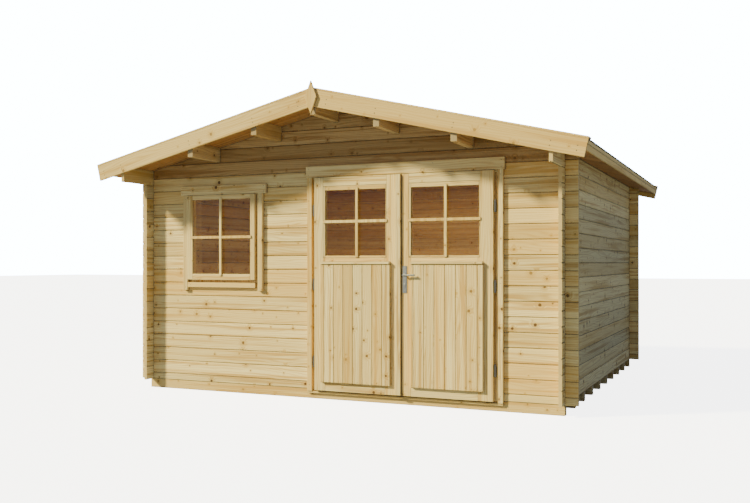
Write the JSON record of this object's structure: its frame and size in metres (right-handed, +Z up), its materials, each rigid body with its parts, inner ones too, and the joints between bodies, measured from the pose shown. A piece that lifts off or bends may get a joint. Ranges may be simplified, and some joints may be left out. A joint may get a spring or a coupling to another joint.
{
  "type": "garden house",
  "caption": "Square garden house of stacked pine logs with a low gable roof, glazed double doors, a sash window and a raised floor.",
  "frame": {"origin": "middle of the plan on the ground", "axes": "+Z up, the front wall with the doors faces -Y, +X to the right seen from the front"},
  "size_m": [4.3872, 4.42, 2.619],
  "materials": {
    "wall_logs": "bare planed pine",
    "bearers": "bare planed pine",
    "floor": "bare planed pine",
    "roof_timber": "bare planed pine",
    "underlay": "matt",
    "felt": "gritty",
    "roof_trim": "bare planed pine",
    "frame_wood": "bare planed pine",
    "door_wood": "bare planed pine",
    "glass": "clear",
    "steel": "satin"
  },
  "bodies": {
    "house": {"bargeboard_caps": "roof_trim", "bargeboards": "roof_trim", "door_head": "frame_wood", "door_head_trim": "frame_wood", "door_jambs": "frame_wood", "door_ledge": "frame_wood", "door_side_trims": "frame_wood", "door_sill": "frame_wood", "eave_fascias": "roof_trim", "floor_bearers": "bearers", "floor_boards": "floor", "front_gable_logs": "wall_logs", "front_wall_left_logs": "wall_logs", "front_wall_right_logs": "wall_logs", "gable_diamonds": "roof_trim", "left_frame_hinges": "steel", "left_wall_logs": "wall_logs", "purlins": "roof_timber", "rear_gable_logs": "wall_logs", "rear_wall_logs": "wall_logs", "ridge_purlin": "roof_timber", "right_frame_hinges": "steel", "right_wall_logs": "wall_logs", "roof_boards": "roof_timber", "roof_felt": "felt", "roof_underlay": "underlay", "wall_plates": "wall_logs", "window_frame": "frame_wood", "window_glass": "glass", "window_sash": "frame_wood", "window_trims": "frame_wood"},
    "left_door": {"left_door_frame": "door_wood", "left_door_panel": "door_wood", "left_door_cap_rail": "door_wood", "left_door_glass": "glass", "left_door_strip": "door_wood", "left_door_hinges": "steel"},
    "right_door": {"right_door_frame": "door_wood", "right_door_panel": "door_wood", "right_door_cap_rail": "door_wood", "right_door_glass": "glass", "right_door_plates": "steel", "right_door_hinges": "steel"},
    "door_handle": {"door_lever": "steel"}
  },
  "joints": [
    {"name": "left_door_hinge", "type": "hinge", "parent": "house", "child": "left_door", "pos_m": [-0.197, -1.779, 0.977], "axis": [0, 0, -1], "range_deg": [0, 110]},
    {"name": "right_door_hinge", "type": "hinge", "parent": "house", "child": "right_door", "pos_m": [1.398, -1.779, 0.977], "axis": [0, 0, 1], "range_deg": [0, 110]},
    {"name": "door_handle_turn", "type": "hinge", "parent": "right_door", "child": "door_handle", "pos_m": [0.646, -1.8, 1.061], "axis": [0, 1, 0], "range_deg": [0, 40], "stiffness_Nm_per_rad": 1.5, "springref_deg": -28.65}
  ]
}
